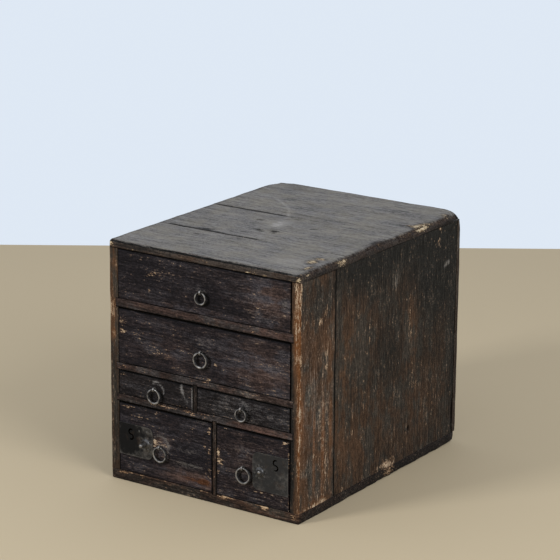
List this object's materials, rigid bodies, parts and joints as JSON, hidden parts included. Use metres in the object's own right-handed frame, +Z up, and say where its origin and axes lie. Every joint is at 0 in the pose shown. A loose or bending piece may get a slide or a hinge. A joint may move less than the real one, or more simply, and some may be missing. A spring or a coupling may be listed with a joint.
{
  "type": "tansu chest",
  "caption": "Small free-standing wooden tansu chest with flush sliding drawers, iron ring pulls and push-button locks on the bottom drawers.",
  "frame": {"origin": "middle of the bottom board's underside, on the floor", "axes": "+Z up, -Y towards the drawer fronts, +X to the right of someone facing the drawers"},
  "size_m": [0.348, 0.47, 0.381],
  "materials": {
    "case_wood": "dark stained softwood, worn satin, arrises rubbed to bare wood",
    "drawer_front_wood": "dark stained softwood, rubbed along the grain",
    "bare_wood": "unfinished aged softwood, matt",
    "iron": "forged iron, dark patina, worn bright on the ridges"
  },
  "bodies": {
    "carcass": {"top_front_board": "case_wood", "top_middle_board": "case_wood", "top_rear_board": "case_wood", "bottom_board": "case_wood", "left_side_front_board": "case_wood", "left_side_rear_board": "case_wood", "right_side_front_board": "case_wood", "right_side_rear_board": "case_wood", "back_board": "case_wood", "upper_shelf": "case_wood", "middle_shelf": "case_wood", "lower_shelf": "case_wood", "small_drawer_divider": "case_wood", "bottom_drawer_divider": "case_wood"},
    "top_drawer": {"top_drawer_front": "drawer_front_wood", "top_drawer_left_side": "bare_wood", "top_drawer_right_side": "bare_wood", "top_drawer_back": "bare_wood", "top_drawer_bottom": "bare_wood", "top_drawer_staple": "iron"},
    "second_drawer": {"second_drawer_front": "drawer_front_wood", "second_drawer_left_side": "bare_wood", "second_drawer_right_side": "bare_wood", "second_drawer_back": "bare_wood", "second_drawer_bottom": "bare_wood", "second_drawer_staple": "iron"},
    "small_left_drawer": {"small_left_drawer_front": "drawer_front_wood", "small_left_drawer_left_side": "bare_wood", "small_left_drawer_right_side": "bare_wood", "small_left_drawer_back": "bare_wood", "small_left_drawer_bottom": "bare_wood", "small_left_drawer_staple": "iron"},
    "small_right_drawer": {"small_right_drawer_front": "drawer_front_wood", "small_right_drawer_left_side": "bare_wood", "small_right_drawer_right_side": "bare_wood", "small_right_drawer_back": "bare_wood", "small_right_drawer_bottom": "bare_wood", "small_right_drawer_staple": "iron"},
    "bottom_left_drawer": {"bottom_left_drawer_front": "drawer_front_wood", "bottom_left_drawer_left_side": "bare_wood", "bottom_left_drawer_right_side": "bare_wood", "bottom_left_drawer_back": "bare_wood", "bottom_left_drawer_bottom": "bare_wood", "bottom_left_drawer_staple": "iron", "bottom_left_drawer_lock_plate": "iron"},
    "bottom_right_drawer": {"bottom_right_drawer_front": "drawer_front_wood", "bottom_right_drawer_left_side": "bare_wood", "bottom_right_drawer_right_side": "bare_wood", "bottom_right_drawer_back": "bare_wood", "bottom_right_drawer_bottom": "bare_wood", "bottom_right_drawer_staple": "iron", "bottom_right_drawer_lock_plate": "iron"},
    "top_ring": {"top_drawer_ring": "iron"},
    "second_ring": {"second_drawer_ring": "iron"},
    "small_left_ring": {"small_left_drawer_ring": "iron"},
    "small_right_ring": {"small_right_drawer_ring": "iron"},
    "bottom_left_ring": {"bottom_left_drawer_ring": "iron"},
    "bottom_right_ring": {"bottom_right_drawer_ring": "iron"},
    "left_lock_button": {"bottom_left_drawer_lock_button": "iron"},
    "right_lock_button": {"bottom_right_drawer_lock_button": "iron"}
  },
  "joints": [
    {"name": "top_drawer_slide", "type": "slide", "parent": "carcass", "child": "top_drawer", "axis": [0, -1, 0], "range_m": [0, 0.34]},
    {"name": "second_drawer_slide", "type": "slide", "parent": "carcass", "child": "second_drawer", "axis": [0, -1, 0], "range_m": [0, 0.34]},
    {"name": "small_left_drawer_slide", "type": "slide", "parent": "carcass", "child": "small_left_drawer", "axis": [0, -1, 0], "range_m": [0, 0.34]},
    {"name": "small_right_drawer_slide", "type": "slide", "parent": "carcass", "child": "small_right_drawer", "axis": [0, -1, 0], "range_m": [0, 0.34]},
    {"name": "bottom_left_drawer_slide", "type": "slide", "parent": "carcass", "child": "bottom_left_drawer", "axis": [0, -1, 0], "range_m": [0, 0.34]},
    {"name": "bottom_right_drawer_slide", "type": "slide", "parent": "carcass", "child": "bottom_right_drawer", "axis": [0, -1, 0], "range_m": [0, 0.34]},
    {"name": "top_ring_swing", "type": "hinge", "parent": "top_drawer", "child": "top_ring", "pos_m": [-0.0005, -0.2316, 0.3271], "axis": [-1, 0, 0], "range_deg": [-5, 180]},
    {"name": "second_ring_swing", "type": "hinge", "parent": "second_drawer", "child": "second_ring", "pos_m": [-0.0005, -0.2316, 0.23405], "axis": [-1, 0, 0], "range_deg": [-5, 180]},
    {"name": "small_left_ring_swing", "type": "hinge", "parent": "small_left_drawer", "child": "small_left_ring", "pos_m": [-0.0872, -0.2316, 0.16015], "axis": [-1, 0, 0], "range_deg": [-5, 180]},
    {"name": "small_right_ring_swing", "type": "hinge", "parent": "small_right_drawer", "child": "small_right_ring", "pos_m": [0.0729, -0.2316, 0.16075], "axis": [-1, 0, 0], "range_deg": [-5, 180]},
    {"name": "bottom_left_ring_swing", "type": "hinge", "parent": "bottom_left_drawer", "child": "bottom_left_ring", "pos_m": [-0.0774, -0.2316, 0.06955], "axis": [-1, 0, 0], "range_deg": [-5, 180]},
    {"name": "bottom_right_ring_swing", "type": "hinge", "parent": "bottom_right_drawer", "child": "bottom_right_ring", "pos_m": [0.0757, -0.2316, 0.06955], "axis": [-1, 0, 0], "range_deg": [-5, 180]},
    {"name": "left_lock_button_press", "type": "slide", "parent": "bottom_left_drawer", "child": "left_lock_button", "axis": [0, 1, 0], "range_m": [0, 0.0105]},
    {"name": "right_lock_button_press", "type": "slide", "parent": "bottom_right_drawer", "child": "right_lock_button", "axis": [0, 1, 0], "range_m": [-0.0105, 0]}
  ]
}
